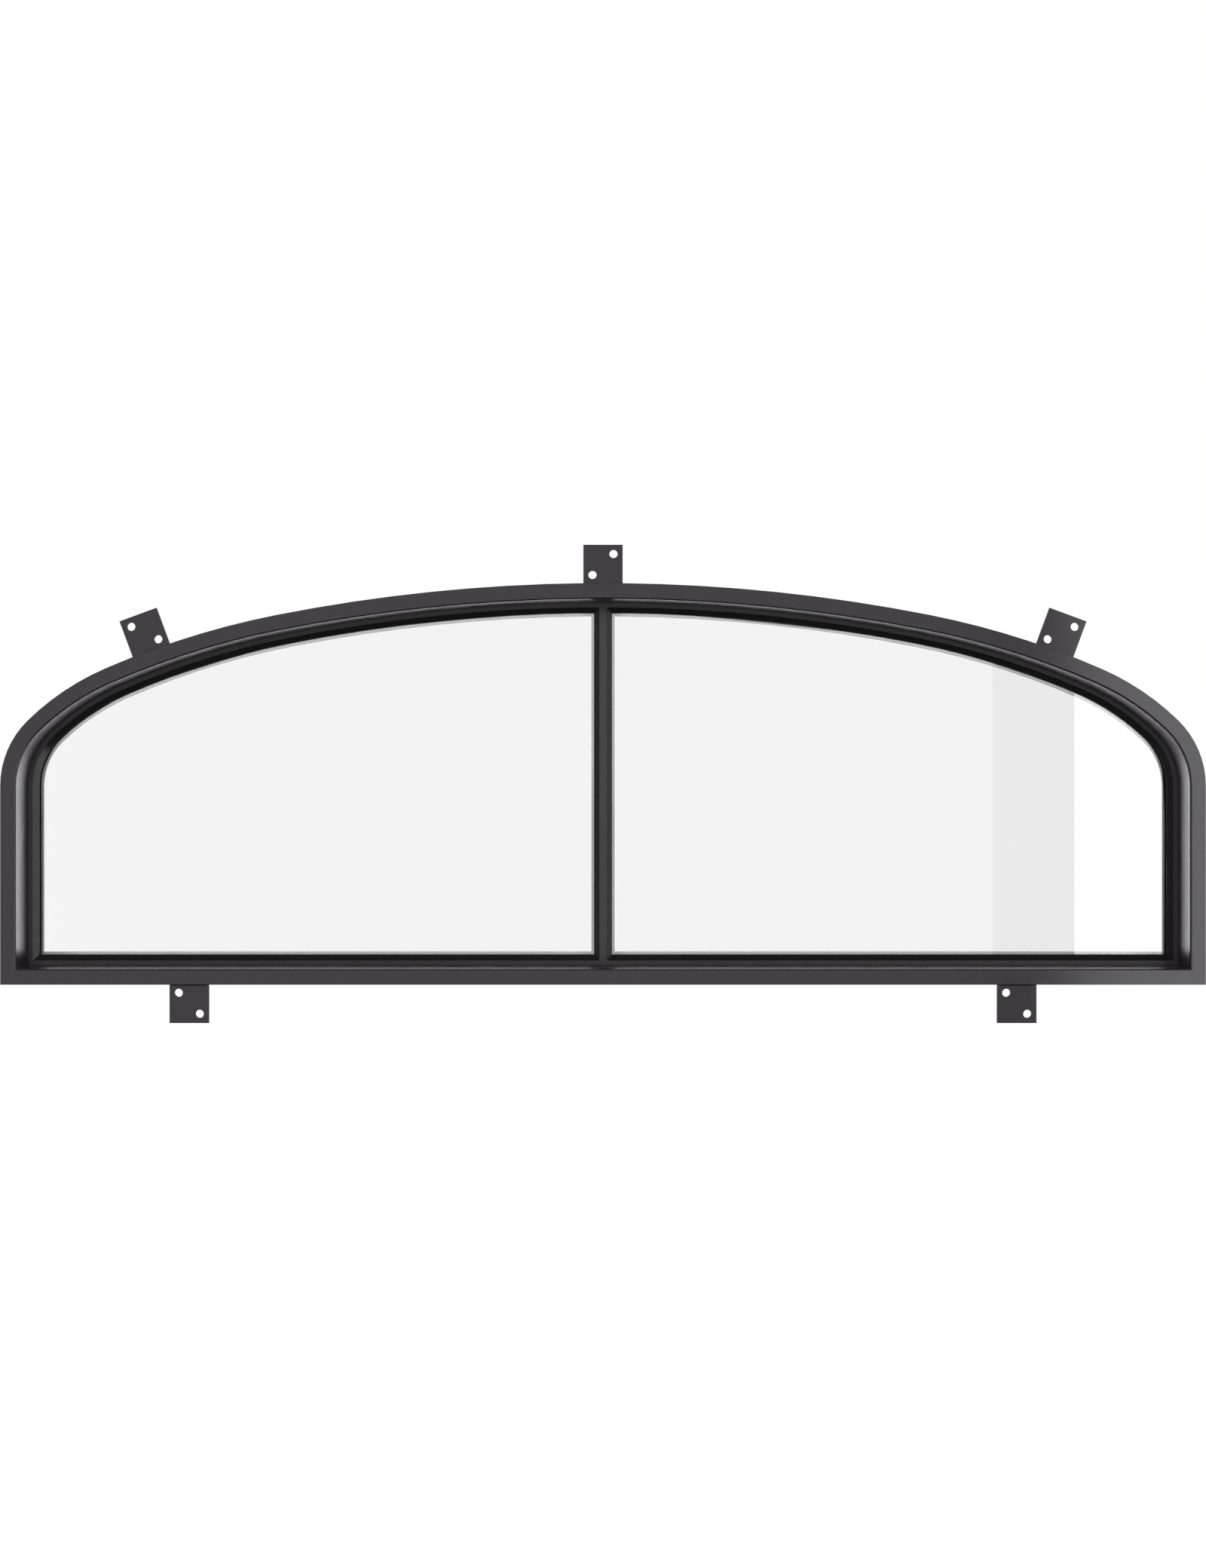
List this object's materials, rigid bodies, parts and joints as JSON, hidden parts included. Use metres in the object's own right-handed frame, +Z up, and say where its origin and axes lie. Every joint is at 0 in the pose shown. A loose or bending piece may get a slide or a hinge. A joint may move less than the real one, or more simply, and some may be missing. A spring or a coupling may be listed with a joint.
{
  "type": "arched top window frame",
  "caption": "Fixed arched top window: black steel tube frame with bevelled glazing bars, a centre mullion, two glass panes and drilled fixing tabs.",
  "frame": {"origin": "middle of the back face of the top fixing tab, which is also the middle of its two holes", "axes": "+X to the right seen from the front, along the frame's width; +Y from the front to the rear, into the wall; +Z up"},
  "size_m": [1.8288, 0.1016, 0.7293],
  "materials": {
    "frame_paint": "satin",
    "tab_paint": "satin",
    "glass": "polished",
    "front_tape": "matte",
    "rear_tape": "satin"
  },
  "bodies": {
    "root": {"head_tube": "frame_paint", "left_jamb_tube": "frame_paint", "right_jamb_tube": "frame_paint", "sill_tube": "frame_paint", "front_head_bar": "frame_paint", "front_left_bar": "frame_paint", "front_right_bar": "frame_paint", "front_sill_bar": "frame_paint", "rear_head_bar": "frame_paint", "rear_left_bar": "frame_paint", "rear_right_bar": "frame_paint", "rear_sill_bar": "frame_paint", "mullion_web": "frame_paint", "front_mullion_cap": "frame_paint", "rear_mullion_cap": "frame_paint", "top_tab": "tab_paint", "upper_left_tab": "tab_paint", "upper_right_tab": "tab_paint", "lower_left_tab": "tab_paint", "lower_right_tab": "tab_paint", "left_pane": "glass", "right_pane": "glass", "left_front_tape": "front_tape", "right_front_tape": "front_tape", "left_rear_tape": "rear_tape", "right_rear_tape": "rear_tape"}
  },
  "joints": []
}
